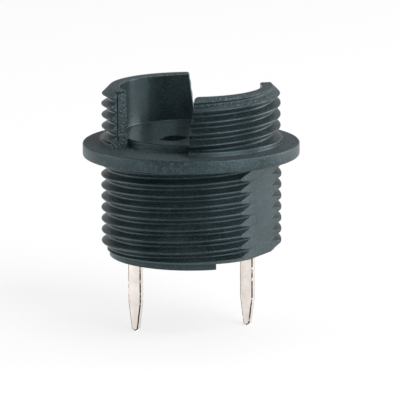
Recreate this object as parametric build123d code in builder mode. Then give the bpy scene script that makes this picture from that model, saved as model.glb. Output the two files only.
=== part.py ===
from build123d import *
import math
import os

os.makedirs("parts", exist_ok=True)

# A round plug-in fuse holder for a panel: one moulded housing with a flange, a male thread on both
# sides of it, and two stamped contacts that end in flat solder pins.
# Frame: origin on the axis in the underside of the flange, +Z towards the fuse, +X normal to a flat,
# +Y through the middle of a finger slot. All sizes in mm, angles in degrees from +X, turning to +Y.

# Thread sizes: two starts, the same above and below the flange
thread_pitch = 1.0
thread_starts = 2
thread_depth = 0.6
crest_width = 0.14
groove_overcut = 0.08
panel_thread_radius = 8.0
panel_crest_height = -0.9
panel_thread_length = 12.0
cap_thread_step = 0.08
cap_crest_height = 0.44
cap_thread_length = 7.0

# Flange sizes
flange_overhang = 1.6
flange_thickness = 1.2
flange_edge = 0.18

# Upper barrel sizes
barrel_top = 6.2
barrel_wall = 1.67
bore_edge = 0.12
cap_lead_in = 0.75
cap_collar_rise = 0.18
cap_collar_height = 0.42
fuse_floor = 1.9

# Lower barrel sizes
barrel_bottom = -8.35
panel_lead_in = 0.42
panel_collar_height = 0.15
flat_depth = 0.78

# Finger slots between the two wall segments, angles at the height of the flange
near_slot_start = -120.2
near_slot_end = -59.4
far_slot_start = 48.0
far_slot_end = 119.5
slot_slope_rise = 1.2
slot_slope_run = 0.51
near_corner_round = 0.4
far_corner_round = 0.2
slope_overcut = 0.5

# Recess in the upright end of the rear segment
end_recess_depth = 0.22
end_recess_width = 0.93
end_recess_bottom = 1.7
end_recess_top = 6.02

# Feet under the barrel
foot_height = 0.55
foot_setback = 0.65
foot_width = 1.2
foot_half_angle = 49.0

# Contact sizes
pin_spacing = 10.16
pin_bearing = 43.0
pin_width = 1.3
strip_thickness = 0.5
pin_tip = -15.87
pin_taper = 2.65
pin_tip_width = 0.62
pin_tip_round = 0.12
plate_bottom = -7.3
plate_top = -0.7
plate_reach = 1.1
lead_spacing = 5.08
lead_diameter = 0.6
leaf_thickness = 0.3
leaf_width = 1.7
leaf_bottom = -6.4
leaf_fold = 1.0
leaf_overlap = 0.4
leaf_fold_radius = 0.7
leaf_inner_y = 1.75
leaf_knee = -3.4
leaf_grip = -1.6
leaf_preload = 0.13
leaf_tip_y = 1.75
leaf_tip = -0.45
rib_half = 0.75
fit_clearance = 0.04
spring_clearance = 0.3

# Lead wells in the floor and the chambers below it
well_centre = 3.0
well_length = 2.7
well_width = 2.2
well_depth = 0.9
lead_hole_diameter = 1.4
floor_thickness = 1.6
chamber_inner = 1.2

# Hollows that keep the walls even
core_wall = 1.55
core_top = -1.2
core_gap = 1.5

# Derived sizes
cap_thread_radius = panel_thread_radius - cap_thread_step
flange_radius = panel_thread_radius + flange_overhang
bore_radius = cap_thread_radius - barrel_wall
cap_collar_radius = cap_thread_radius + cap_collar_rise
flat_distance = panel_thread_radius - flat_depth
end_recess_radius = bore_radius + end_recess_width
foot_radius = panel_thread_radius - foot_setback
foot_inner_radius = foot_radius - foot_width
pin_x = pin_spacing / 2 * math.cos(math.radians(pin_bearing))
pin_y = pin_spacing / 2 * math.sin(math.radians(pin_bearing))
strip_end = pin_x + pin_width / 2
strip_width = strip_end + plate_reach
strip_centre = strip_end - strip_width / 2
chamber_top = fuse_floor - floor_thickness
chamber_width = leaf_width + 2 * spring_clearance
chamber_length = pin_y + strip_thickness / 2 + fit_clearance - chamber_inner
chamber_centre = chamber_inner + chamber_length / 2
core_start_x = chamber_width / 2 + core_gap
core_end_y = pin_y - strip_thickness / 2 - core_gap
core_length_x = flat_distance - core_start_x
core_centre_x = core_start_x + core_length_x / 2
core_length_y = flat_distance + core_end_y
core_centre_y = core_end_y - core_length_y / 2
thread_lead = thread_starts * thread_pitch
groove_mouth = thread_pitch - crest_width
groove_slope = groove_mouth / 2 / thread_depth
panel_groove_bottom = panel_crest_height + 2.5 * thread_pitch - panel_thread_length
cap_groove_bottom = cap_crest_height - thread_pitch / 2


def groove_profile(radius):
    # Corners of the sharp thread groove, from its root to just outside the crest
    half_mouth = groove_mouth / 2 + groove_overcut * groove_slope
    return [
        (radius - thread_depth, 0),
        (radius + groove_overcut, -half_mouth),
        (radius + groove_overcut, half_mouth),
    ]


def sector(start, end, reach):
    # Corners of a wedge with its tip on the axis, for angles less than half a turn apart
    middle = (start + end) / 2
    angles = [math.radians(angle) for angle in (start, middle, end)]
    stretch = [1.0, 2.0, 1.0]
    rim = [(reach * k * math.cos(a), reach * k * math.sin(a)) for k, a in zip(stretch, angles)]
    return [(0, 0), *rim]


def slot_side(angle, inward):
    # Upright plane square to the radius through a slot's side; x runs into the wall, y runs up
    turn = math.radians(angle)
    radial = Vector(math.cos(turn), math.sin(turn), 0)
    along = Vector(-math.sin(turn), math.cos(turn), 0) * inward
    start = bore_radius - slope_overcut if inward > 0 else flange_radius
    return Plane(origin=radial * start, x_dir=along, z_dir=radial * inward)


# Panel thread grooves, one for each start
with BuildPart() as panel_grooves:
    for start in range(thread_starts):
        groove_foot = panel_groove_bottom + start * thread_pitch
        with BuildLine() as groove_path:
            Helix(
                pitch=thread_lead,
                height=panel_thread_length - thread_pitch,
                radius=panel_thread_radius,
                center=(0, 0, groove_foot),
            )
        with BuildSketch(Plane.XZ) as groove_section:
            with Locations((0, groove_foot)):
                Polygon(*groove_profile(panel_thread_radius), align=None)
        sweep(groove_section.sketch, path=groove_path.line, is_frenet=True)

# Cap thread grooves
with BuildPart() as cap_grooves:
    for start in range(thread_starts):
        groove_foot = cap_groove_bottom + start * thread_pitch
        with BuildLine() as groove_path:
            Helix(
                pitch=thread_lead,
                height=cap_thread_length - thread_pitch,
                radius=cap_thread_radius,
                center=(0, 0, groove_foot),
            )
        with BuildSketch(Plane.XZ) as groove_section:
            with Locations((0, groove_foot)):
                Polygon(*groove_profile(cap_thread_radius), align=None)
        sweep(groove_section.sketch, path=groove_path.line, is_frenet=True)

# Lower barrel: thread cut in longer stock, then trimmed to its outline
with BuildPart() as panel_barrel:
    with Locations((0, 0, panel_groove_bottom - thread_pitch)):
        Cylinder(
            panel_thread_radius,
            panel_thread_length + thread_lead,
            align=(Align.CENTER, Align.CENTER, Align.MIN),
        )
    add(panel_grooves.part, mode=Mode.SUBTRACT)
    with BuildSketch(Plane.XZ):
        with BuildLine():
            Polyline(
                (0, barrel_bottom),
                (panel_thread_radius - panel_lead_in, barrel_bottom),
                (panel_thread_radius, barrel_bottom + panel_lead_in),
                (panel_thread_radius, 0),
                (0, 0),
                close=True,
            )
        make_face()
    revolve(axis=Axis.Z, mode=Mode.INTERSECT)

# Upper barrel, made the same way
with BuildPart() as cap_barrel:
    with Locations((0, 0, cap_groove_bottom - thread_pitch)):
        Cylinder(
            cap_thread_radius,
            cap_thread_length + thread_lead,
            align=(Align.CENTER, Align.CENTER, Align.MIN),
        )
    add(cap_grooves.part, mode=Mode.SUBTRACT)
    with BuildSketch(Plane.XZ):
        with BuildLine():
            Polyline(
                (bore_radius, 0),
                (cap_thread_radius, 0),
                (cap_thread_radius, barrel_top - cap_lead_in),
                (cap_thread_radius - cap_lead_in, barrel_top),
                (bore_radius + bore_edge, barrel_top),
                (bore_radius, barrel_top - bore_edge),
                close=True,
            )
        make_face()
    revolve(axis=Axis.Z, mode=Mode.INTERSECT)

# Housing, one moulding
with BuildPart() as housing:
    # Both threaded barrels and the floor inside the upper one
    add(panel_barrel.part)
    add(cap_barrel.part)
    with BuildSketch():
        Circle(bore_radius)
    extrude(amount=fuse_floor)

    # Flange
    with BuildSketch():
        Circle(flange_radius)
        Circle(bore_radius, mode=Mode.SUBTRACT)
    extrude(amount=flange_thickness)
    flange_rims = housing.edges().filter_by(GeomType.CIRCLE)
    flange_rims = flange_rims.filter_by(lambda edge: abs(edge.radius - flange_radius) < 0.01)
    chamfer(flange_rims, length=flange_edge)

    # Plain collar where the cap thread runs out against the flange
    with BuildSketch(Plane.XY.offset(flange_thickness)):
        Circle(cap_collar_radius)
        Circle(bore_radius, mode=Mode.SUBTRACT)
    extrude(amount=cap_collar_height)

    # Low collar in the corner under the flange, so the seat ends in a round edge
    with BuildSketch():
        Circle(panel_thread_radius)
    extrude(amount=-panel_collar_height)

    # Flats on the panel thread
    with BuildSketch(Plane.XY.offset(barrel_bottom)):
        for side in (1, -1):
            with Locations((side * (flat_distance + flange_radius / 2), 0)):
                Rectangle(flange_radius, 2 * flange_radius)
    extrude(amount=-barrel_bottom, mode=Mode.SUBTRACT)

    # Finger slots, open outwards and at the top
    with BuildSketch(Plane.XY.offset(flange_thickness)):
        Polygon(*sector(near_slot_start, near_slot_end, flange_radius), align=None)
        Polygon(*sector(far_slot_start, far_slot_end, flange_radius), align=None)
        Circle(bore_radius, mode=Mode.SUBTRACT)
    extrude(amount=barrel_top, mode=Mode.SUBTRACT)

    # Slopes that widen the slots towards the top
    slope_foot = flange_thickness + slot_slope_rise
    slopes = (
        (near_slot_end, 1, near_corner_round),
        (far_slot_start, -1, far_corner_round),
        (far_slot_end, 1, far_corner_round),
    )
    for angle, inward, corner_round in slopes:
        with BuildSketch(slot_side(angle, inward)):
            with BuildLine() as slope_outline:
                Polyline(
                    (0, slope_foot),
                    (slot_slope_run, barrel_top),
                    (2 * slot_slope_run, barrel_top),
                    (2 * slot_slope_run, barrel_top + slot_slope_run),
                    (-slot_slope_run, barrel_top + slot_slope_run),
                    (-slot_slope_run, slope_foot),
                    close=True,
                )
                corner = slope_outline.vertices().sort_by_distance((slot_slope_run, barrel_top))[0]
                fillet(corner, radius=corner_round)
            make_face()
        extrude(amount=flange_radius - bore_radius + slope_overcut, mode=Mode.SUBTRACT)

    # Shallow recess in the upright end of the rear segment
    end_recess_angle = math.degrees(end_recess_depth / end_recess_radius)
    with BuildSketch(Plane.XY.offset(end_recess_bottom)):
        Circle(end_recess_radius)
        Circle(bore_radius, mode=Mode.SUBTRACT)
        recess_start = near_slot_start - end_recess_angle
        recess_corners = sector(recess_start, near_slot_start + end_recess_angle, flange_radius)
        Polygon(*recess_corners, align=None, mode=Mode.INTERSECT)
    extrude(amount=end_recess_top - end_recess_bottom, mode=Mode.SUBTRACT)

    # Feet that stand on the circuit board
    with BuildSketch(Plane.XY.offset(barrel_bottom)):
        for foot_middle in (90, -90):
            foot_start = foot_middle - foot_half_angle
            foot_end = foot_middle + foot_half_angle
            Polygon(*sector(foot_start, foot_end, flange_radius), align=None)
        Circle(foot_radius, mode=Mode.INTERSECT)
        Circle(foot_inner_radius, mode=Mode.SUBTRACT)
    extrude(amount=-foot_height)

    # Wells and lead holes in the floor
    with BuildSketch(Plane.XY.offset(fuse_floor)):
        with Locations((0, well_centre), (0, -well_centre)):
            SlotOverall(well_length, well_width, rotation=90)
    extrude(amount=-well_depth, mode=Mode.SUBTRACT)
    with BuildSketch(Plane.XY.offset(fuse_floor)):
        with Locations((0, lead_spacing / 2), (0, -lead_spacing / 2)):
            Circle(lead_hole_diameter / 2)
    extrude(amount=-floor_thickness, mode=Mode.SUBTRACT)

    # Contact chambers: a room for the spring and a close slot for the strip
    with BuildSketch(Plane.XY.offset(barrel_bottom)):
        with Locations((0, chamber_centre), (0, -chamber_centre)):
            Rectangle(chamber_width, chamber_length)
    extrude(amount=chamber_top - barrel_bottom, mode=Mode.SUBTRACT)
    with BuildSketch(Plane.XY.offset(barrel_bottom)):
        with Locations((strip_centre, pin_y), (-strip_centre, -pin_y)):
            Rectangle(strip_width + 2 * fit_clearance, strip_thickness + 2 * fit_clearance)
    extrude(amount=plate_top + fit_clearance - barrel_bottom, mode=Mode.SUBTRACT)

    # Hollows that keep the walls even
    with BuildSketch(Plane.XY.offset(barrel_bottom)):
        with Locations((core_centre_x, core_centre_y), (-core_centre_x, -core_centre_y)):
            Rectangle(core_length_x, core_length_y)
        Circle(flat_distance - core_wall, mode=Mode.INTERSECT)
    extrude(amount=core_top - barrel_bottom, mode=Mode.SUBTRACT)

housing.part.label = "housing"

# Contact, one stamping: strip, solder pin and a folded spring leaf that grips the fuse lead
taper_top = pin_tip + pin_taper
tip_shoulder = pin_tip + pin_tip_width / 3
leaf_shift = strip_thickness / 2 - leaf_thickness / 2
leaf_root_y = pin_y - leaf_shift
leaf_root = leaf_bottom + leaf_fold
leaf_grip_y = lead_spacing / 2 - lead_diameter / 2 + leaf_preload - leaf_thickness / 2
rib_root = pin_y - strip_thickness / 2
rib_face = lead_spacing / 2 + lead_diameter / 2
with BuildPart() as contact_right:
    with BuildSketch(Plane.XZ.offset(-pin_y)):
        with BuildLine():
            Polyline(
                (-plate_reach, leaf_root),
                (-plate_reach, plate_top),
                (strip_end, plate_top),
                (strip_end, taper_top),
                (pin_x + pin_tip_width / 2, tip_shoulder),
                (pin_x, pin_tip),
                (pin_x - pin_tip_width / 2, tip_shoulder),
                (pin_x - pin_width / 2, taper_top),
                (pin_x - pin_width / 2, plate_bottom),
                (plate_reach, plate_bottom),
                (plate_reach, leaf_root),
                close=True,
            )
        make_face()
    extrude(amount=strip_thickness / 2, both=True)
    tip_edges = contact_right.edges().filter_by(Axis.Y).sort_by(Axis.Z)[:3]
    fillet(tip_edges, radius=pin_tip_round)

    # Spring leaf, folded under and back up
    with BuildSketch(Plane.YZ):
        with BuildLine() as leaf_line:
            Polyline(
                (leaf_root_y, leaf_root + leaf_overlap),
                (leaf_root_y, leaf_bottom),
                (leaf_inner_y, leaf_bottom),
                (leaf_inner_y, leaf_knee),
                (leaf_grip_y, leaf_grip),
                (leaf_tip_y, leaf_tip),
            )
            fillet(leaf_line.vertices().group_by(Axis.Z)[0], radius=leaf_fold_radius)
        trace(line_width=leaf_thickness)
    extrude(amount=leaf_width / 2, both=True)

    # Rib on the strip that faces the leaf
    with BuildSketch(Plane.YZ):
        with BuildLine():
            Polyline(
                (rib_root + leaf_thickness / 2, leaf_grip - rib_half),
                (rib_root, leaf_grip - rib_half),
                (rib_face, leaf_grip - rib_half / 3),
                (rib_face, leaf_grip + rib_half / 3),
                (rib_root, leaf_grip + rib_half),
                (rib_root + leaf_thickness / 2, leaf_grip + rib_half),
                close=True,
            )
        make_face()
    extrude(amount=leaf_width / 2, both=True)

contact_right.part.label = "contact_right"

with BuildPart() as contact_left:
    with Locations(Rotation(0, 0, 180)):
        add(contact_right.part)

contact_left.part.label = "contact_left"

export_step(housing.part, "parts/housing.step")
export_step(contact_right.part, "parts/contact_right.step")
export_step(contact_left.part, "parts/contact_left.step")
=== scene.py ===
import math

import bmesh
import bpy
from mathutils import Matrix, Vector


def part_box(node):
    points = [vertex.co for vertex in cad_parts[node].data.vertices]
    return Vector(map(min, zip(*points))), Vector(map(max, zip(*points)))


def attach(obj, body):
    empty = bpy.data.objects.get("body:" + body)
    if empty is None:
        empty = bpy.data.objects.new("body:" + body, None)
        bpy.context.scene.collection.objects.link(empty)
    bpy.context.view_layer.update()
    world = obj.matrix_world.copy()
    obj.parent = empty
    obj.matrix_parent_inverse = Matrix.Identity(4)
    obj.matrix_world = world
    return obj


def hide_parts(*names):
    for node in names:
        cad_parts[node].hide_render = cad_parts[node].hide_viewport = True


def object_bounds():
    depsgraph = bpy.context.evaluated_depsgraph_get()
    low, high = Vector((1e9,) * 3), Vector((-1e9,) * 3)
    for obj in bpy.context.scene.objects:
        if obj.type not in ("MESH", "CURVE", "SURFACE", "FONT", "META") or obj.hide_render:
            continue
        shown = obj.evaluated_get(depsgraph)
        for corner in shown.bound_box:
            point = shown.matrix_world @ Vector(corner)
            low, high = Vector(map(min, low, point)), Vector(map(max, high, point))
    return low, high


bl_info = {
    "name": "Panel mount fuse holder",
    "version": (1, 0, 0),
    "blender": (4, 5, 0),
    "location": "3D View > Sidebar > Fuse holder",
    "description": "Threaded housing and tinned contacts of a panel mount fuse holder, with its studio",
    "category": "Object",
}

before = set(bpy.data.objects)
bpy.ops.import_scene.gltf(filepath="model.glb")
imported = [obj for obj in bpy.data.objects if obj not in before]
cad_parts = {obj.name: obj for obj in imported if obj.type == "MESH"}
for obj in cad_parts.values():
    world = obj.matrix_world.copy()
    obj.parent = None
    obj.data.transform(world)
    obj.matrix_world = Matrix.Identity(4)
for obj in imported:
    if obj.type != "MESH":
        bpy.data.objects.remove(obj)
CAD_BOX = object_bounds()
HOUSING_LOW, HOUSING_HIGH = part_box("housing")
MM = 0.001

# Steps in a full turn, in a rounded corner and in the round end of a hole
TURN_STEPS = 192
ARC_STEPS = 5
ROUND_END_STEPS = 16

# The housing in millimetres and degrees, in the CAD frame
BARREL_TOP = HOUSING_HIGH[2] / MM
FOOT_BOTTOM = HOUSING_LOW[2] / MM
BARREL_BOTTOM = -8.35
FLANGE_TOP = 1.2
FLANGE_RADIUS = HOUSING_HIGH[0] / MM
COLLAR_TOP = 1.62
COLLAR_RADIUS = 8.1
FUSE_FLOOR = 1.9
BORE_RADIUS = 6.25
BORE_EDGE = 0.12
FLAT_DISTANCE = 7.22
PANEL_LEAD_IN = 0.42
CAP_LEAD_IN = 0.75
NEAR_SLOT = (-120.2, -59.4)
FAR_SLOT = (48.0, 119.5)
SLOPE_RISE = 1.2
SLOPE_RUN = 0.51
RECESS_DEPTH = 0.22
RECESS_RADIUS = 7.18
RECESS_BOTTOM = 1.7
RECESS_TOP = 6.02
LINE_RADIUS = 7.3
FOOT_HALF_ANGLE = 49
FOOT_INNER = 6.15
FOOT_OUTER = 7.35

# Outline, as (radius, height), of the tool that chamfers the open edge of the fuse floor
LIP = ((6.12, 1.92), (6.4, 1.92), (6.4, 1.64), (6.26, 1.78))

# Round-ended holes in the fuse floor, on both sides: name, centre on Y, width, length and bottom
FLOOR_HOLES = (("well", 3.0, 2.2, 2.7, 1.0), ("lead hole", 2.54, 1.4, 1.4001, 0.2))

# Pockets that open downwards, made twice, half a turn apart: name, centre on X and Y, width, length and top.
# The hollows end at a radius, so that the barrel's wall stays even
POCKETS = (
    ("chamber", 0.0, 2.4777, 2.3, 2.5554, 0.3),
    ("strip slot", 1.6326, 3.4645, 5.5451, 0.58, -0.66),
    ("hollow", 4.9361, -2.7528, 4.5718, 8.9345, -1.2),
)
HOLLOW_RADIUS = 5.67

# Lowest crest of each thread and the turns that a ridge makes, past both ends of the barrel
PANEL_FIRST_CREST, PANEL_TURNS = -10.9, 6.0
CAP_FIRST_CREST, CAP_TURNS = -1.56, 4.5

# Section of a ridge: its points, half its width as a share of the pitch, the fall of its 60 degree flanks,
# how far the points crowd together at its bends, the blend at the crest as a share of the crest's round, and
# the blend at the root in mm
SECTION_POINTS = 33
HALF_RIDGE = 0.49
FLANK_FALL = math.tan(math.radians(60))
CROWDING = 0.75
CREST_BLEND = 1.24
ROOT_BLEND = 0.17

# How deep the ridges stand in the barrel, and the barrel in the flange, so that they join into one solid
RIDGE_SINK = 0.008
BARREL_SINK = 0.3

# Heights and radii that reach clear of the housing, and the lap of a tool that cuts or joins
BELOW = -10.0
ABOVE_FLOOR = 3.0
OUTSIDE = 12.0
LAP = 0.01

# Finishes of the moulding, in the order of their slots: name, tone, grain width and depth in mm,
# share of pale flecks, and the roughness of the smooth and the rough spots
ERODED, GROUND, POLISHED, COARSE = range(4)
FINISHES = (
    ("nylon, moulded against finely eroded steel", "plastic_glossy", 0.16, 0.05, 0.4, 0.3, 0.44),
    ("nylon, moulded in a ground thread insert", "plastic_glossy", 0.14, 0.012, 0.25, 0.24, 0.36),
    ("nylon, moulded against a polished core", "plastic_glossy", 0.3, 0.004, 0.15, 0.16, 0.24),
    ("nylon, moulded against coarsely eroded steel", "plastic_matt", 0.2, 0.2, 1.0, 0.38, 0.56),
)

# Azimuth from +X, in degrees, where the camera stands
FACING = -57.8

# Lamps: name, azimuth off the camera's and elevation in degrees, distance, width and height in metres,
# and radiance
LAMPS = (
    ("right front soft box", 47, 25, 0.6, 0.44, 0.7, 4.6),
    ("right back soft box", 108, 12, 0.6, 0.3, 0.4, 5.0),
    ("left soft box", -92, 14, 0.7, 0.5, 0.5, 2.3),
    ("top soft box", 150, 72, 0.7, 0.5, 0.5, 1.2),
)


# ---------------------------------------------------------------- sizes and colours


class FuseHolderSizes(bpy.types.PropertyGroup):
    """Sizes of the dressed pieces, in millimetres unless said otherwise."""

    thread_pitch: bpy.props.FloatProperty(
        name="Thread pitch", description="Height from one crest to the next", default=1.0, min=0.9, max=1.1
    )
    thread_depth: bpy.props.FloatProperty(
        name="Thread depth", description="Crest to root, along the radius", default=0.61, min=0.4, max=0.7
    )
    crest_round: bpy.props.FloatProperty(
        name="Crest round", description="Radius of the rounded thread crest", default=0.121, min=0.05, max=0.2
    )
    panel_thread_radius: bpy.props.FloatProperty(
        name="Panel thread radius", description="Crest radius below the flange", default=8.0, min=7.8, max=8.0
    )
    cap_thread_radius: bpy.props.FloatProperty(
        name="Cap thread radius", description="Crest radius above the flange", default=7.92, min=7.7, max=7.92
    )
    flange_round: bpy.props.FloatProperty(
        name="Flange edge round", description="Radius of both flange edges", default=0.18, min=0.05, max=0.4
    )
    stamped_edge: bpy.props.FloatProperty(
        name="Stamped edge",
        description="Width of the rolled-over edge of the contact strip",
        default=0.09,
        min=0.01,
        max=0.1,
    )


class FuseHolderColours(bpy.types.PropertyGroup):
    """Colours of the finishes, as sRGB hex values."""

    plastic_glossy: bpy.props.StringProperty(
        name="Plastic, glossy", description="Tone of threads and bore", default="#151f22"
    )
    plastic_matt: bpy.props.StringProperty(
        name="Plastic, matt", description="Tone of the coarsely eroded faces", default="#232e31"
    )
    tin_light: bpy.props.StringProperty(
        name="Tin, bright", description="Bright tone of the tinned strip", default="#ffefe9"
    )
    tin_dark: bpy.props.StringProperty(
        name="Tin, dull", description="Dull tone of the tinned strip", default="#eedad2"
    )
    floor: bpy.props.StringProperty(name="Floor", description="Colour of the studio floor", default="#fbfbfb")


# ---------------------------------------------------------------- nodes and materials


def linear(hex_colour):
    """Linear RGBA of an sRGB hex colour."""
    parts = [int(hex_colour.lstrip("#")[i : i + 2], 16) / 255 for i in (0, 2, 4)]
    return tuple(p / 12.92 if p <= 0.04045 else ((p + 0.055) / 1.055) ** 2.4 for p in parts) + (1.0,)


def add_node(tree, kind, settings=None, inputs=None):
    """Adds a node, sets its fields, and gives each named input a value or the socket that feeds it."""
    node = tree.nodes.new(kind)
    for name, value in (settings or {}).items():
        setattr(node, name, value)
    for key, value in (inputs or {}).items():
        if isinstance(value, bpy.types.NodeSocket):
            tree.links.new(value, node.inputs[key])
        else:
            node.inputs[key].default_value = value
    return node


def new_material(name):
    """An empty material with its Principled shader joined to the output."""
    material = bpy.data.materials.new(name)
    material.use_nodes = True
    tree = material.node_tree
    tree.nodes.clear()
    shader = add_node(tree, "ShaderNodeBsdfPrincipled")
    add_node(tree, "ShaderNodeOutputMaterial", inputs={"Surface": shader.outputs["BSDF"]})
    return material, tree, shader


def patches(tree, place, colours, width_mm, detail, low, high, most=1.0):
    """Colour that turns from the first to the second in soft patches, and the pattern of the patches."""
    noise = {"Vector": place, "Scale": 1 / (width_mm * MM), "Detail": detail}
    pattern = add_node(tree, "ShaderNodeTexNoise", inputs=noise).outputs["Fac"]
    limits = {"Value": pattern, "From Min": low, "From Max": high, "To Max": most}
    share = add_node(tree, "ShaderNodeMapRange", inputs=limits).outputs["Result"]
    mix = {"Factor": share, "A": colours[0], "B": colours[1]}
    return add_node(tree, "ShaderNodeMix", {"data_type": "RGBA"}, mix).outputs[2], pattern


def moulded_nylon(name, tone, grain_mm, grain_depth_mm, fleck_share, smooth, rough):
    """Dark glass-filled nylon. The grain is the skin that the mould leaves, coarse where it was eroded."""
    material, tree, shader = new_material(name)
    place = add_node(tree, "ShaderNodeTexCoord").outputs["Object"]
    # Glass-filled nylon clouds a little over a few millimetres where the melt met
    clouded, _ = patches(tree, place, (linear(tone), linear("#56646a")), 2.6, 3.0, 0.35, 0.65, 0.12)
    # Pale flecks of glass fibre reach the skin. A fibre is too fine to show, so they are 0.2 mm wide
    colour, _ = patches(tree, place, (clouded, linear("#4a5256")), 0.2, 1.0, 0.48, 0.68, fleck_share)
    skin = {"Vector": place, "Scale": 1 / (grain_mm * MM), "Detail": 2.0, "Roughness": 0.6}
    grain = add_node(tree, "ShaderNodeTexNoise", inputs=skin).outputs["Fac"]
    limits = {"Value": grain, "From Min": 0.3, "From Max": 0.7, "To Min": smooth, "To Max": rough}
    gloss = add_node(tree, "ShaderNodeMapRange", inputs=limits)
    # Moulded edges are never sharp: they turn over about 0.08 mm
    edge = add_node(tree, "ShaderNodeBevel", {"samples": 8}, {"Radius": 0.08 * MM}).outputs["Normal"]
    relief = {"Height": grain, "Strength": 1.0, "Distance": grain_depth_mm * MM, "Normal": edge}
    bump = add_node(tree, "ShaderNodeBump", inputs=relief)
    tree.links.new(colour, shader.inputs["Base Color"])
    tree.links.new(gloss.outputs["Result"], shader.inputs["Roughness"])
    tree.links.new(bump.outputs["Normal"], shader.inputs["Normal"])
    shader.inputs["IOR"].default_value = 1.53
    shader.inputs["Specular IOR Level"].default_value = 0.46
    # Carbon black and a green-blue toner leave the sheen a little cold
    shader.inputs["Specular Tint"].default_value = linear("#cdeef5")
    return material


def tinned_brass(name, colours):
    """Brass strip with a bright tin plate: pale, a little warm, with faint rolling lines along the pin."""
    material, tree, shader = new_material(name)
    place = add_node(tree, "ShaderNodeTexCoord").outputs["Object"]
    # The plate is duller in soft patches of about a millimetre
    tones = (linear(colours.tin_light), linear(colours.tin_dark))
    colour, dull = patches(tree, place, tones, 1.1, 4.0, 0.35, 0.7)
    limits = {"Value": dull, "From Min": 0.3, "From Max": 0.7, "To Min": 0.22, "To Max": 0.36}
    gloss = add_node(tree, "ShaderNodeMapRange", inputs=limits)
    # Rolling lines run along the strip, 0.08 mm apart, drawn out to 4 mm
    stretch = add_node(tree, "ShaderNodeMapping", inputs={"Vector": place, "Scale": (1.0, 1.0, 0.02)})
    rolled = {"Vector": stretch.outputs["Vector"], "Scale": 1 / (0.08 * MM), "Detail": 2.0}
    lines = add_node(tree, "ShaderNodeTexNoise", inputs=rolled).outputs["Fac"]
    relief = {"Height": lines, "Strength": 1.0, "Distance": 0.0012 * MM}
    bump = add_node(tree, "ShaderNodeBump", inputs=relief)
    tree.links.new(colour, shader.inputs["Base Color"])
    tree.links.new(gloss.outputs["Result"], shader.inputs["Roughness"])
    tree.links.new(bump.outputs["Normal"], shader.inputs["Normal"])
    shader.inputs["Metallic"].default_value = 1.0
    return material


def sheared_edge(name, colours):
    """The rolled-over edge faces of the strip, coloured dark brown with short stretches of dull tin."""
    material, tree, shader = new_material(name)
    place = add_node(tree, "ShaderNodeTexCoord").outputs["Object"]
    # Dull tin breaks the dark colour in short stretches of about 0.3 mm along the edge
    tones = (linear("#2a211e"), linear(colours.tin_dark))
    colour, _ = patches(tree, place, tones, 0.32, 2.0, 0.55, 0.7)
    tree.links.new(colour, shader.inputs["Base Color"])
    shader.inputs["Metallic"].default_value = 1.0
    shader.inputs["Roughness"].default_value = 0.5
    return material


# ---------------------------------------------------------------- solids, in millimetres


def solid(name, corners, faces):
    """A closed mesh object with its faces turned outwards."""
    mesh = bpy.data.meshes.new(name)
    mesh.from_pydata(corners, [], faces)
    work = bmesh.new()
    work.from_mesh(mesh)
    bmesh.ops.recalc_face_normals(work, faces=work.faces)
    work.to_mesh(mesh)
    work.free()
    made = bpy.data.objects.new(name, mesh)
    bpy.context.collection.objects.link(made)
    return made


def turned(name, outline):
    """Solid of revolution about Z from a closed outline of (radius, height) corners."""
    corners, rings = [], []
    for radius, height in outline:
        count = TURN_STEPS if radius > 0 else 1
        rings.append(range(len(corners), len(corners) + count))
        for step in range(count):
            turn = math.tau * step / TURN_STEPS
            corners.append((radius * math.cos(turn), radius * math.sin(turn), height))
    faces = []
    for here, there in zip(rings, rings[1:] + rings[:1]):
        for step in range(TURN_STEPS):
            after = (step + 1) % TURN_STEPS
            loop = [here[step % len(here)], here[after % len(here)]]
            loop += [there[after % len(there)], there[step % len(there)]]
            loop = list(dict.fromkeys(loop))
            if len(loop) > 2:
                faces.append(loop)
    return solid(name, corners, faces)


def prism(name, outline, low, high, place=None):
    """Upright prism over an outline of (x, y) corners, moved by the place matrix if one is given."""
    count = len(outline)
    corners = [Vector((x, y, low)) for x, y in outline] + [Vector((x, y, high)) for x, y in outline]
    if place:
        corners = [place @ corner for corner in corners]
    faces = [range(count), range(count, 2 * count)]
    faces += [(i, (i + 1) % count, count + (i + 1) % count, count + i) for i in range(count)]
    return solid(name, corners, faces)


def rounded(corners):
    """Outline of (x, y, radius) corners, each with its arc."""
    line = []
    for index, (x, y, radius) in enumerate(corners):
        here = Vector((x, y))
        if radius == 0:
            line.append((x, y))
            continue
        before = (Vector(corners[index - 1][:2]) - here).normalized()
        after = (Vector(corners[(index + 1) % len(corners)][:2]) - here).normalized()
        half = before.angle(after) / 2
        centre = here + (before + after).normalized() * radius / math.sin(half)
        first = here + before * radius / math.tan(half) - centre
        last = here + after * radius / math.tan(half) - centre
        start = math.atan2(first.y, first.x)
        sweep = (math.atan2(last.y, last.x) - start + math.pi) % math.tau - math.pi
        for step in range(ARC_STEPS + 1):
            turn = start + sweep * step / ARC_STEPS
            line.append((centre.x + radius * math.cos(turn), centre.y + radius * math.sin(turn)))
    return line


def ring_part(start, end, inner, outer):
    """Outline of the part of a ring between two angles in degrees."""
    steps = max(4, round((end - start) / (360 / TURN_STEPS)))
    turns = [math.radians(start + (end - start) * step / steps) for step in range(steps + 1)]
    inside = [(inner * math.cos(turn), inner * math.sin(turn)) for turn in turns]
    outside = [(outer * math.cos(turn), outer * math.sin(turn)) for turn in reversed(turns)]
    return inside + outside


def block(centre_x, centre_y, width, length):
    """Outline of a rectangle."""
    left, right = centre_x - width / 2, centre_x + width / 2
    near, far = centre_y - length / 2, centre_y + length / 2
    return [(left, near), (right, near), (right, far), (left, far)]


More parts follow.
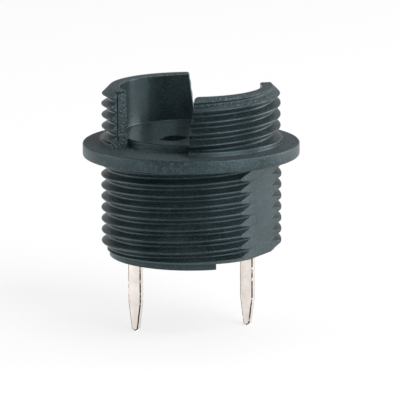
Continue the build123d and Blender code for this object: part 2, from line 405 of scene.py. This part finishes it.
def stadium(centre_y, width, length):
    """Outline of a slot with round ends, its length along Y."""
    reach = (length - width) / 2
    line = []
    for end in (1, -1):
        for step in range(ROUND_END_STEPS + 1):
            turn = math.pi * step / ROUND_END_STEPS + (0 if end > 0 else math.pi)
            line.append((width / 2 * math.cos(turn), centre_y + end * reach + width / 2 * math.sin(turn)))
    return line


def settle(piece):
    """Turns a piece and its modifiers into a plain mesh."""
    graph = bpy.context.evaluated_depsgraph_get()
    mesh = bpy.data.meshes.new_from_object(piece.evaluated_get(graph))
    piece.modifiers.clear()
    piece.data = mesh


def carve(target, tool, operation="DIFFERENCE"):
    """Cuts, joins or trims the target with a closed tool, which is then removed."""
    change = target.modifiers.new("carve", "BOOLEAN")
    change.operation = operation
    change.solver = "MANIFOLD"
    change.object = tool
    settle(target)
    bpy.data.objects.remove(tool)
    if not target.data.polygons:
        raise RuntimeError("nothing is left of " + target.name)


# ---------------------------------------------------------------- thread ridges


def ridge_tree(material):
    """Node tree that winds a rounded thread ridge about Z, once for each start."""
    tree = bpy.data.node_groups.new("thread ridges", "GeometryNodeTree")
    sizes = (
        ("Crest radius", "NodeSocketFloat", 8.0),
        ("Pitch", "NodeSocketFloat", 1.0),
        ("Starts", "NodeSocketInt", 2),
        ("Depth", "NodeSocketFloat", 0.61),
        ("Crest round", "NodeSocketFloat", 0.121),
        ("First crest", "NodeSocketFloat", 0.0),
        ("Turns", "NodeSocketFloat", PANEL_TURNS),
        ("Steps per turn", "NodeSocketInt", TURN_STEPS),
    )
    tree.interface.new_socket("Geometry", in_out="INPUT", socket_type="NodeSocketGeometry")
    for name, kind, default in sizes:
        tree.interface.new_socket(name, in_out="INPUT", socket_type=kind).default_value = default
    tree.interface.new_socket("Geometry", in_out="OUTPUT", socket_type="NodeSocketGeometry")
    value = dict(add_node(tree, "NodeGroupInput").outputs.items())
    place = add_node(tree, "GeometryNodeInputPosition").outputs["Position"]
    value["even"] = add_node(tree, "ShaderNodeSeparateXYZ", inputs={"Vector": place}).outputs["Y"]
    # Each row names a value, the operation that gives it, and the values or numbers that it takes
    for name, operation, *terms in (
        ("lead", "MULTIPLY", "Pitch", "Starts"),
        ("rise", "MULTIPLY", "lead", "Turns"),
        ("half", "MULTIPLY", "Pitch", HALF_RIDGE),
        ("under half", "MULTIPLY", "half", -1.0),
        # Points stand closer where the section bends, at the crest and at both roots
        ("share", "DIVIDE", "even", "half"),
        ("phase", "MULTIPLY", "share", math.tau),
        ("wave", "SINE", "phase"),
        ("swing", "MULTIPLY", "wave", "half"),
        ("shift", "MULTIPLY", "swing", CROWDING / math.tau),
        ("height", "SUBTRACT", "even", "shift"),
        # A 60 degree V with a full round at the crest and at the root
        ("off crest", "ABSOLUTE", "height"),
        ("fall", "MULTIPLY", "off crest", FLANK_FALL),
        ("flank", "SUBTRACT", "Crest round", "fall"),
        ("crest blend", "MULTIPLY", "Crest round", CREST_BLEND),
        ("rounded", "SMOOTH_MIN", "flank", 0.0, "crest blend"),
        ("root", "MULTIPLY", "Depth", -1.0),
        ("reach", "SMOOTH_MAX", "rounded", "root", ROOT_BLEND),
    ):
        inputs = {index: value.get(term, term) for index, term in enumerate(terms)}
        value[name] = add_node(tree, "ShaderNodeMath", {"operation": operation}, inputs).outputs["Value"]

    # The path of a crest, once for each start. Reversed, the spiral is a right-hand thread
    helix = {
        "Resolution": value["Steps per turn"],
        "Rotations": value["Turns"],
        "Start Radius": value["Crest radius"],
        "End Radius": value["Crest radius"],
        "Height": value["rise"],
        "Reverse": True,
    }
    path = add_node(tree, "GeometryNodeCurveSpiral", inputs=helix).outputs["Curve"]
    first = add_node(tree, "ShaderNodeCombineXYZ", inputs={"Z": value["First crest"]}).outputs[0]
    step = add_node(tree, "ShaderNodeCombineXYZ", inputs={"Z": value["Pitch"]}).outputs[0]
    row = {"Count": value["Starts"], "Start Location": first, "Offset": step}
    starts = add_node(tree, "GeometryNodeMeshLine", inputs=row).outputs["Mesh"]
    wound = add_node(tree, "GeometryNodeInstanceOnPoints", inputs={"Points": starts, "Instance": path})
    paths = add_node(tree, "GeometryNodeRealizeInstances", inputs={"Geometry": wound.outputs["Instances"]})
    # The section stays upright along the path
    crests = {"Curve": paths.outputs["Geometry"]}
    upright = add_node(tree, "GeometryNodeSetCurveNormal", {"mode": "Z_UP"}, crests)

    # The section is drawn as a straight line, bent into shape and closed
    low = add_node(tree, "ShaderNodeCombineXYZ", inputs={"Y": value["under half"]}).outputs[0]
    high = add_node(tree, "ShaderNodeCombineXYZ", inputs={"Y": value["half"]}).outputs[0]
    line = add_node(tree, "GeometryNodeCurvePrimitiveLine", inputs={"Start": low, "End": high})
    split = {"Curve": line.outputs["Curve"], "Count": SECTION_POINTS}
    points = add_node(tree, "GeometryNodeResampleCurve", inputs=split)
    bent = add_node(tree, "ShaderNodeCombineXYZ", inputs={"X": value["reach"], "Y": value["height"]})
    moved = {"Geometry": points.outputs["Curve"], "Position": bent.outputs[0]}
    shaped = add_node(tree, "GeometryNodeSetPosition", inputs=moved)
    ring = {"Geometry": shaped.outputs["Geometry"], "Cyclic": True}
    closed = add_node(tree, "GeometryNodeSetSplineCyclic", inputs=ring)

    section = closed.outputs["Geometry"]
    sweep = {"Curve": upright.outputs["Curve"], "Profile Curve": section, "Fill Caps": True}
    ridge = add_node(tree, "GeometryNodeCurveToMesh", inputs=sweep)
    real = add_node(tree, "GeometryNodeRealizeInstances", inputs={"Geometry": ridge.outputs["Mesh"]})
    finish = {"Geometry": real.outputs["Geometry"], "Material": material}
    painted = add_node(tree, "GeometryNodeSetMaterial", inputs=finish)
    add_node(tree, "NodeGroupOutput", inputs={"Geometry": painted.outputs["Geometry"]})
    return tree


def thread(name, tree, values):
    """Runs the ridge tree with these named sizes and returns the ridges as one closed mesh."""
    made = bpy.data.objects.new(name, bpy.data.meshes.new(name))
    bpy.context.collection.objects.link(made)
    wind = made.modifiers.new("wind", "NODES")
    wind.node_group = tree
    identifiers = {item.name: item.identifier for item in tree.interface.items_tree if item.in_out == "INPUT"}
    for key, value in values.items():
        wind[identifiers[key]] = value
    settle(made)
    work = bmesh.new()
    work.from_mesh(made.data)
    bmesh.ops.recalc_face_normals(work, faces=work.faces)
    work.to_mesh(made.data)
    work.free()
    return made


# ---------------------------------------------------------------- housing


def slot_slope(angle, inward, corner_round):
    """Tool that leans a finger slot's side back towards the top and rounds its upper corner."""
    foot = FLANGE_TOP + SLOPE_RISE
    outline = rounded(
        [
            (0, foot, 0),
            (SLOPE_RUN, BARREL_TOP, corner_round),
            (2 * SLOPE_RUN, BARREL_TOP, 0),
            (2 * SLOPE_RUN, BARREL_TOP + SLOPE_RUN, 0),
            (-SLOPE_RUN, BARREL_TOP + SLOPE_RUN, 0),
            (-SLOPE_RUN, foot, 0),
        ]
    )
    turn = math.radians(angle)
    radial = Vector((math.cos(turn), math.sin(turn), 0))
    along = Vector((-math.sin(turn), math.cos(turn), 0)) * inward
    place = Matrix((along, Vector((0, 0, 1)), radial)).transposed()
    return prism("slope", outline, BORE_RADIUS - 0.5, OUTSIDE, place)


def threaded_barrel(sizes, common, tree):
    """The barrel below the flange, its thread trimmed at the lead-in and cut away at both flats."""
    radius, root = sizes.panel_thread_radius, sizes.thread_depth - RIDGE_SINK
    ridges = {"Crest radius": radius, "First crest": PANEL_FIRST_CREST, "Turns": PANEL_TURNS}
    lower = thread("lower ridges", tree, {**common, **ridges})
    trim = [
        (radius - 1.0, BARREL_BOTTOM),
        (radius - PANEL_LEAD_IN, BARREL_BOTTOM),
        (radius + LAP, BARREL_BOTTOM + PANEL_LEAD_IN + LAP),
        (radius + LAP, BARREL_SINK),
        (radius - 1.0, BARREL_SINK),
    ]
    carve(lower, turned("lower trim", trim), "INTERSECT")
    core = radius - root
    outline = [(0, BARREL_BOTTOM), (core, BARREL_BOTTOM), (core, BARREL_SINK), (0, BARREL_SINK)]
    barrel = turned("barrel", outline)
    carve(barrel, lower, "UNION")
    for side in (1, -1):
        carve(barrel, prism("flat", block(side * (FLAT_DISTANCE + 5), 0, 10, 30), BELOW, 1.0))
    return barrel


def flange_and_cap_barrel(sizes, common, tree):
    """The flange, its collar and the threaded barrel above it, with its lead-in, bore and floor."""
    radius, root = sizes.cap_thread_radius, sizes.thread_depth - RIDGE_SINK
    ridges = {"Crest radius": radius, "First crest": CAP_FIRST_CREST, "Turns": CAP_TURNS}
    upper = thread("upper ridges", tree, {**common, **ridges})
    trim = [
        (radius - 1.0, FLANGE_TOP),
        (radius + LAP, FLANGE_TOP),
        (radius + LAP, BARREL_TOP - CAP_LEAD_IN - LAP),
        (radius - CAP_LEAD_IN, BARREL_TOP),
        (radius - 1.0, BARREL_TOP),
    ]
    carve(upper, turned("upper trim", trim), "INTERSECT")
    core = radius - root
    outline = rounded(
        [
            (0, 0, 0),
            (FLANGE_RADIUS, 0, sizes.flange_round),
            (FLANGE_RADIUS, FLANGE_TOP, sizes.flange_round),
            (COLLAR_RADIUS, FLANGE_TOP, 0.06),
            (COLLAR_RADIUS, COLLAR_TOP, 0.08),
            (core, COLLAR_TOP, 0.06),
            (core, BARREL_TOP - CAP_LEAD_IN + root, 0),
            (radius - CAP_LEAD_IN, BARREL_TOP, 0.1),
            (BORE_RADIUS + BORE_EDGE, BARREL_TOP, 0),
            (BORE_RADIUS, BARREL_TOP - BORE_EDGE, 0),
            (BORE_RADIUS, FUSE_FLOOR, 0.08),
            (0, FUSE_FLOOR, 0),
        ]
    )
    shell = turned("housing", outline)
    carve(shell, upper, "UNION")
    return shell


def cut_slots(shell):
    """Finger slots with leaning sides, and the shallow recess in the rear segment's upright end."""
    for start, end in (NEAR_SLOT, FAR_SLOT):
        carve(shell, prism("slot", ring_part(start, end, BORE_RADIUS - LAP, OUTSIDE), FLANGE_TOP, OUTSIDE))
        # The fuse floor ends in a small chamfer where the slots lay its edge open, just short of their sides
        lip = turned("lip", LIP)
        length = ring_part(start + 0.05, end - 0.05, 5.5, OUTSIDE)
        carve(lip, prism("lip length", length, 1.0, ABOVE_FLOOR), "INTERSECT")
        carve(shell, lip)
    # Angle of the leaning side, the way it leans and the round at its upper corner
    for angle, inward, corner_round in (
        (NEAR_SLOT[1], 1, 0.4),
        (FAR_SLOT[0], -1, 0.2),
        (FAR_SLOT[1], 1, 0.2),
    ):
        carve(shell, slot_slope(angle, inward, corner_round))
    depth = math.degrees(RECESS_DEPTH / RECESS_RADIUS)
    inner, face = BORE_RADIUS - 0.1, NEAR_SLOT[0]
    # A narrow line runs up the recess's side and over its top, where the mould insert met the barrel. The
    # number after a name is how deep its tool cuts, as a multiple of the recess's depth
    for name, reach, inside, outside, low, high in (
        ("recess", 1.0, inner, RECESS_RADIUS, RECESS_BOTTOM, RECESS_TOP),
        ("side line", 1.45, 7.08, LINE_RADIUS, RECESS_BOTTOM, RECESS_TOP),
        ("top line", 2.0, inner, LINE_RADIUS, 5.99, 6.13),
    ):
        carve(shell, prism(name, ring_part(face - reach * depth, face + depth, inside, outside), low, high))


def shape_underside(shell):
    """Feet, wells, lead holes, contact chambers and the hollows that keep the walls even."""
    for middle in (90, -90):
        sector = ring_part(middle - FOOT_HALF_ANGLE, middle + FOOT_HALF_ANGLE, FOOT_INNER, FOOT_OUTER)
        carve(shell, prism("foot", sector, FOOT_BOTTOM, BARREL_BOTTOM + 0.1), "UNION")
    for side in (1, -1):
        for name, centre, width, length, bottom in FLOOR_HOLES:
            carve(shell, prism(name, stadium(side * centre, width, length), bottom, ABOVE_FLOOR))
        for name, x, y, width, length, top in POCKETS:
            pocket = prism(name, block(side * x, side * y, width, length), BELOW, top)
            if name == "hollow":
                column = [(0, BELOW - 1), (HOLLOW_RADIUS, BELOW - 1), (HOLLOW_RADIUS, 0), (0, 0)]
                carve(pocket, turned("wall side", column), "INTERSECT")
            carve(shell, pocket)


def housing_shape(sizes, tree):
    """The moulding: threaded barrels above and below the flange, with every slot, well and hollow."""
    common = {
        "Pitch": sizes.thread_pitch,
        "Starts": 2,
        "Depth": sizes.thread_depth,
        "Crest round": sizes.crest_round,
        "Steps per turn": TURN_STEPS,
    }
    barrel = threaded_barrel(sizes, common, tree)
    shell = flange_and_cap_barrel(sizes, common, tree)
    carve(shell, barrel, "UNION")
    cut_slots(shell)
    shape_underside(shell)
    return shell


def finish_of(face):
    """Slot of the finish that the mould leaves on a face, from where it lies and which way it faces."""
    radius, height = math.hypot(face.center.x, face.center.y) / MM, face.center.z / MM
    outward = (face.normal.x * face.center.x + face.normal.y * face.center.y) / (radius * MM + 1e-9)
    upward = face.normal.z
    # The wall of the bore
    if radius < 6.4 and outward < -0.9 and height > FUSE_FLOOR:
        return POLISHED
    # The cap barrel: its rim and the sides of its slots, and its thread
    if height > FLANGE_TOP + LAP and radius > BORE_RADIUS:
        rim = height > BARREL_TOP - CAP_LEAD_IN - LAP and upward > 0.5
        slot_side = abs(outward) < 0.3 and abs(upward) < 0.6
        return COARSE if rim or slot_side else GROUND
    # The fuse floor, and then the flange's upper face
    if upward > 0.9 and radius < BORE_RADIUS and abs(height - FUSE_FLOOR) < 0.05:
        return GROUND
    # The flange's upper face takes the coarse finish: its grain is real, and the lighter tone that comes with
    # it is painted light from above
    if upward > 0.9 and abs(height - FLANGE_TOP) < LAP:
        return COARSE
    # The panel thread without its flats, and all that is left
    flat = abs(face.normal.x) > 0.9999
    lower_thread = radius > 7.1 and outward > 0.2 and height < -0.01 and not flat
    return GROUND if lower_thread else ERODED


class FUSE_OT_housing(bpy.types.Operator):
    """Builds the moulded housing with its two-start threads and replaces the plain solid"""

    bl_idname = "fuse_holder.housing"
    bl_label = "Build housing"

    def execute(self, context):
        sizes, colours = context.scene.fuse_holder_sizes, context.scene.fuse_holder_colours
        finishes = [moulded_nylon(name, getattr(colours, tone), *look) for name, tone, *look in FINISHES]
        piece = housing_shape(sizes, ridge_tree(finishes[GROUND]))
        piece.name = "moulded_housing"
        mesh = piece.data
        mesh.transform(Matrix.Scale(MM, 4))
        mesh.materials.clear()
        for finish in finishes:
            mesh.materials.append(finish)
        for face in mesh.polygons:
            face.material_index = finish_of(face)
        mesh.shade_smooth()
        mesh.set_sharp_from_angle(angle=math.radians(21))
        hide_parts("housing")
        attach(piece, "root")
        return {"FINISHED"}


class FUSE_OT_contacts(bpy.types.Operator):
    """Builds both stamped contacts with rolled-over edges and replaces the plain solids"""

    bl_idname = "fuse_holder.contacts"
    bl_label = "Build contacts"

    def execute(self, context):
        sizes, colours = context.scene.fuse_holder_sizes, context.scene.fuse_holder_colours
        tin = tinned_brass("brass strip, stamped and bright tinned", colours)
        sheared = sheared_edge("brass strip, edge faces coloured dark", colours)
        for node in ("contact_right", "contact_left"):
            work = bmesh.new()
            work.from_mesh(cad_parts[node].data)
            bmesh.ops.remove_doubles(work, verts=work.verts, dist=0.002 * MM)
            # Triangles that lie in one plane become one face, so that only true edges are bevelled
            level = math.radians(1)
            bmesh.ops.dissolve_limit(work, angle_limit=level, verts=work.verts, edges=work.edges)
            mesh = bpy.data.meshes.new("stamped_" + node)
            work.to_mesh(mesh)
            work.free()
            piece = bpy.data.objects.new("stamped_" + node, mesh)
            context.collection.objects.link(piece)
            mesh.materials.append(tin)
            mesh.materials.append(sheared)
            # The bevel gives its own faces slot 1, the dark edge colour
            edge = piece.modifiers.new("edge", "BEVEL")
            edge.width = sizes.stamped_edge * MM
            edge.use_clamp_overlap = True
            edge.segments = 3
            edge.limit_method = "ANGLE"
            edge.angle_limit = math.radians(40)
            edge.material = 1
            settle(piece)
            piece.data.shade_smooth()
            piece.data.set_sharp_from_angle(angle=math.radians(35))
            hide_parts(node)
            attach(piece, "root")
        return {"FINISHED"}


# ---------------------------------------------------------------- studio


def studio_lamp(name, azimuth, elevation, distance, width, height, radiance):
    """A soft box that faces the object, at an azimuth from +X and an elevation in degrees."""
    lamp = bpy.data.lights.new(name, "AREA")
    lamp.shape = "RECTANGLE"
    lamp.size, lamp.size_y = width, height
    lamp.energy = radiance * math.pi * width * height
    made = bpy.data.objects.new(name, lamp)
    bpy.context.collection.objects.link(made)
    turn, rise = math.radians(azimuth), math.radians(elevation)
    away = Vector((math.cos(turn) * math.cos(rise), math.sin(turn) * math.cos(rise), math.sin(rise)))
    aim = away.to_track_quat("Z", "Y").to_matrix().to_4x4()
    made.matrix_world = Matrix.Translation(away * distance) @ aim
    return made


def seen_directly(tree):
    """Socket that is 1 for camera, glossy and transmission rays."""
    path = add_node(tree, "ShaderNodeLightPath")
    seen = path.outputs["Is Camera Ray"]
    for kind in ("Is Glossy Ray", "Is Transmission Ray"):
        either = {0: seen, 1: path.outputs[kind]}
        seen = add_node(tree, "ShaderNodeMath", {"operation": "MAXIMUM"}, either).outputs[0]
    return seen


def studio_floor(colours):
    """A sheet of pale paper, 3.2 m wide, that the pins stand on. It keeps the shadow."""
    half, low = 1.6, CAD_BOX[0][2]
    corners = [(-half, -half, low), (half, -half, low), (half, half, low), (-half, half, low)]
    mesh = bpy.data.meshes.new("studio_floor")
    mesh.from_pydata(corners, [], [(0, 1, 2, 3)])
    floor = bpy.data.objects.new("studio_floor", mesh)
    bpy.context.collection.objects.link(floor)
    paper, tree, shader = new_material("matt studio paper, lit from behind")
    shader.inputs["Base Color"].default_value = linear(colours.floor)
    shader.inputs["Roughness"].default_value = 0.9
    shader.inputs["Specular IOR Level"].default_value = 0.0
    # Seen and mirrored it is nearly white; the rest of its tone is lit, and keeps the shadow
    share = {"Value": seen_directly(tree), "To Max": 0.7}
    part = add_node(tree, "ShaderNodeMapRange", inputs=share).outputs["Result"]
    # Only in reflections does the paper glow a little cold: a painted reflection tint that gives the black
    # plastic's sheen its cold tone
    mirrored = add_node(tree, "ShaderNodeLightPath").outputs["Is Glossy Ray"]
    tones = {"Factor": mirrored, "A": linear("#ffffff"), "B": linear("#f1ffff")}
    tone = add_node(tree, "ShaderNodeMix", {"data_type": "RGBA"}, tones).outputs[2]
    glow = add_node(tree, "ShaderNodeEmission", inputs={"Color": tone})
    layers = {0: part, 1: shader.outputs[0], 2: glow.outputs[0]}
    mixed = add_node(tree, "ShaderNodeMixShader", inputs=layers)
    tree.links.new(mixed.outputs[0], tree.nodes["Material Output"].inputs["Surface"])
    mesh.materials.append(paper)
    return floor


def white_surround():
    """A white room that the plastic mirrors as bright sides and darker front, back and ceiling."""
    world = bpy.data.worlds.new("white surround")
    world.use_nodes = True
    tree = world.node_tree
    tree.nodes.clear()
    toward = add_node(tree, "ShaderNodeTexCoord").outputs["Generated"]
    # The darkest part in front lies 8 degrees to the right of the camera
    turn = math.radians(FACING + 8)
    axes = {0: toward, 1: (math.cos(turn), math.sin(turn), 0.0)}
    front = add_node(tree, "ShaderNodeVectorMath", {"operation": "DOT_PRODUCT"}, axes).outputs["Value"]
    rise = add_node(tree, "ShaderNodeSeparateXYZ", inputs={"Vector": toward}).outputs["Z"]
    # Mirrored, the room darkens in front, behind and overhead. Each row is the way, the cosines of the
    # angles off it where the fade starts and ends, and the share of the light that is left there
    mirrored = 1.0
    for way, start, end, left in (
        (front, 0.3, 0.85, 0.2),
        (front, -0.35, -0.85, 0.4),
        (rise, 0.4, 0.85, 0.12),
    ):
        limits = {"Value": way, "From Min": start, "From Max": end, "To Min": 1.0, "To Max": left}
        fade = add_node(tree, "ShaderNodeMapRange", {"interpolation_type": "SMOOTHSTEP"}, limits)
        both = {0: mirrored, 1: fade.outputs["Result"]}
        mirrored = add_node(tree, "ShaderNodeMath", {"operation": "MULTIPLY"}, both).outputs[0]
    # It is white where the camera looks at it, and fainter where it only lights the object
    reflection = add_node(tree, "ShaderNodeLightPath").outputs["Is Glossy Ray"]
    seen = {"Factor": reflection, "A": 1.0, "B": mirrored}
    shown = add_node(tree, "ShaderNodeMix", {"data_type": "FLOAT"}, seen).outputs[0]
    lit = {"Factor": seen_directly(tree), "A": 0.35, "B": shown}
    strength = add_node(tree, "ShaderNodeMix", {"data_type": "FLOAT"}, lit).outputs[0]
    light = {"Color": (1.0, 1.0, 1.0, 1.0), "Strength": strength}
    back = add_node(tree, "ShaderNodeBackground", inputs=light)
    add_node(tree, "ShaderNodeOutputWorld", inputs={"Surface": back.outputs[0]})
    return world


def photo_camera():
    """The camera where the photo was taken: 247 mm away and 10.9 degrees above the flange."""
    lens = bpy.data.cameras.new("photo camera")
    lens.sensor_width = 36.0
    lens.lens = 251.5
    lens.clip_start = 0.01
    lens.shift_x = 0.02205
    lens.shift_y = -0.11558
    camera = bpy.data.objects.new("photo camera", lens)
    bpy.context.collection.objects.link(camera)
    distance, turn, rise, roll = 0.24748, math.radians(FACING), math.radians(10.904), math.radians(-0.271)
    away = Vector((math.cos(rise) * math.cos(turn), math.cos(rise) * math.sin(turn), math.sin(rise)))
    stand = distance * away
    aim = (-stand).to_track_quat("-Z", "Y").to_matrix() @ Matrix.Rotation(roll, 3, "Z")
    camera.matrix_world = Matrix.Translation(stand) @ aim.to_4x4()
    return camera


class FUSE_OT_studio(bpy.types.Operator):
    """Sets the pale floor, the soft lights, the white surround and the camera"""

    bl_idname = "fuse_holder.studio"
    bl_label = "Set up studio"

    def execute(self, context):
        floor = studio_floor(context.scene.fuse_holder_colours)
        for name, azimuth, *rest in LAMPS:
            studio_lamp(name, FACING + azimuth, *rest)
        context.scene.world = white_surround()
        context.scene.camera = photo_camera()
        context.scene.view_settings.view_transform = "Standard"
        return {"FINISHED"}


class FUSE_PT_panel(bpy.types.Panel):
    """Lists the sizes, the colours and the steps of the fuse holder"""

    bl_idname = "FUSE_PT_panel"
    bl_label = "Panel mount fuse holder"
    bl_space_type = "VIEW_3D"
    bl_region_type = "UI"
    bl_category = "Fuse holder"

    def draw(self, context):
        for group in (context.scene.fuse_holder_sizes, context.scene.fuse_holder_colours):
            for name in group.__annotations__:
                self.layout.prop(group, name)
        for step in STEPS:
            self.layout.operator(step.bl_idname)


STEPS = (FUSE_OT_studio, FUSE_OT_housing, FUSE_OT_contacts)
GROUPS = (FuseHolderSizes, FuseHolderColours)


def register():
    """Adds the groups, operators and panel to Blender."""
    for item in (*GROUPS, *STEPS, FUSE_PT_panel):
        bpy.utils.register_class(item)
    bpy.types.Scene.fuse_holder_sizes = bpy.props.PointerProperty(type=FuseHolderSizes)
    bpy.types.Scene.fuse_holder_colours = bpy.props.PointerProperty(type=FuseHolderColours)


def unregister():
    """Takes them out again."""
    del bpy.types.Scene.fuse_holder_sizes
    del bpy.types.Scene.fuse_holder_colours
    for item in (FUSE_PT_panel, *reversed(STEPS), *reversed(GROUPS)):
        bpy.utils.unregister_class(item)


def main():
    """Builds the whole scene."""
    register()
    bpy.ops.fuse_holder.studio()
    bpy.ops.fuse_holder.housing()
    bpy.ops.fuse_holder.contacts()


if __name__ == "__main__":
    main()
